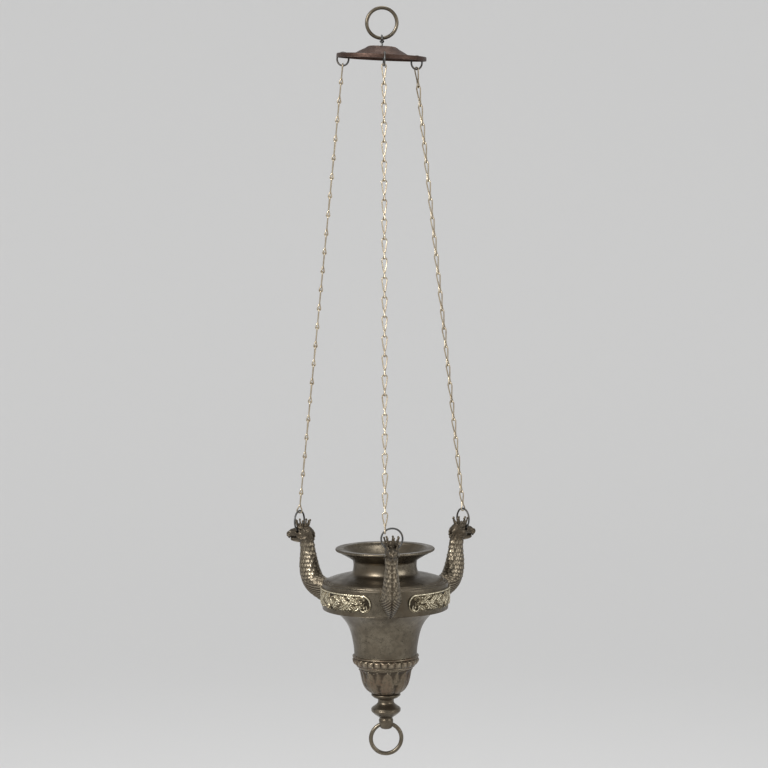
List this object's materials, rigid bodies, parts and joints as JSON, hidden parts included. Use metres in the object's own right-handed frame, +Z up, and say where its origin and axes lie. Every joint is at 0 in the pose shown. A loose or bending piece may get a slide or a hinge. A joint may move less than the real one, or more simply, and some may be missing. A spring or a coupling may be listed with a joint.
{
  "type": "sanctuary lamp",
  "caption": "Hanging sanctuary lamp: waisted vessel with a relief band, crowned bird-head arms, wire chains, dished canopy, hanging ring and pull ring.",
  "frame": {"origin": "top of the inside of the top ring, where the ceiling hook bears", "axes": "+Z up along the lamp's upright middle line; -Y points out of the front arm; +X to the right of someone facing the front arm"},
  "size_m": [0.2314, 0.2117, 0.9013],
  "materials": {
    "patinated_bronze": "dark brown-grey patina, dull sheen, worn lighter on edges",
    "worn_bronze": "dark in the hollows, rubbed light on the high points",
    "dark_iron": "dark oxidised iron wire",
    "chain_brass": "dull pale brass wire",
    "clear_glass": "clear, polished"
  },
  "bodies": {
    "hanger": {"top_ring": "patinated_bronze"},
    "eye": {"canopy_eye": "dark_iron", "canopy_washer": "dark_iron"},
    "canopy": {"canopy": "patinated_bronze", "canopy_ring_front": "dark_iron", "canopy_ring_right": "dark_iron", "canopy_ring_left": "dark_iron"},
    "chain_front": {"chain_front": "chain_brass"},
    "chain_right": {"chain_right": "chain_brass"},
    "chain_left": {"chain_left": "chain_brass"},
    "vessel": {"head_ring_front": "patinated_bronze", "head_ring_right": "patinated_bronze", "head_ring_left": "patinated_bronze", "arm_front": "patinated_bronze", "arm_right": "patinated_bronze", "arm_left": "patinated_bronze", "arm_screws": "dark_iron", "mouth_collar": "patinated_bronze", "band": "patinated_bronze", "relief_front_left": "worn_bronze", "relief_front_right": "worn_bronze", "relief_back": "worn_bronze", "bell": "patinated_bronze", "gadroon_ring": "worn_bronze", "leaf_cup": "patinated_bronze", "finial": "patinated_bronze", "tie_rod": "dark_iron", "tie_washer": "dark_iron", "tie_nut": "dark_iron"},
    "pull_ring": {"pull_ring": "patinated_bronze"},
    "oil_glass": {"oil_glass": "clear_glass"}
  },
  "joints": [
    {"name": "lamp_swing", "type": "hinge", "parent": "hanger", "child": "eye", "pos_m": [0, 0, -0.0337], "axis": [1, 0, 0], "range_deg": [-20, 20]},
    {"name": "canopy_turn", "type": "hinge", "parent": "eye", "child": "canopy", "pos_m": [0, 0, -0.04405], "axis": [0, 0, 1], "continuous": true},
    {"name": "vessel_twist", "type": "hinge", "parent": "canopy", "child": "vessel", "pos_m": [0, 0, -0.64305], "axis": [0, 0, 1], "range_deg": [-12, 12], "stiffness_Nm_per_rad": 0.3},
    {"name": "chain_front_lean", "type": "hinge", "parent": "canopy", "child": "chain_front", "pos_m": [-0.0013, -0.05019, -0.06982], "axis": [-0.0024, -0.093, 0.9957], "range_deg": [-12.5, 12.5]},
    {"name": "chain_right_lean", "type": "hinge", "parent": "canopy", "child": "chain_right", "pos_m": [0.04325, 0.02669, -0.06858], "axis": [0.0804, 0.0496, 0.9955], "range_deg": [-12.5, 12.5]},
    {"name": "chain_left_lean", "type": "hinge", "parent": "canopy", "child": "chain_left", "pos_m": [-0.04551, 0.02669, -0.06409], "axis": [-0.0839, 0.0492, 0.9953], "range_deg": [-12.5, 12.5]},
    {"name": "pull_ring_swing", "type": "hinge", "parent": "vessel", "child": "pull_ring", "pos_m": [0, 0, -0.85881], "axis": [1, 0, 0], "range_deg": [-85, 85]},
    {"name": "glass_lift", "type": "slide", "parent": "vessel", "child": "oil_glass", "axis": [0, 0, 1], "range_m": [0, 0.09]}
  ],
  "couplings": [
    {"joint": "chain_front_lean", "follows": "vessel_twist", "ratio": 1},
    {"joint": "chain_right_lean", "follows": "vessel_twist", "ratio": 1},
    {"joint": "chain_left_lean", "follows": "vessel_twist", "ratio": 1}
  ]
}
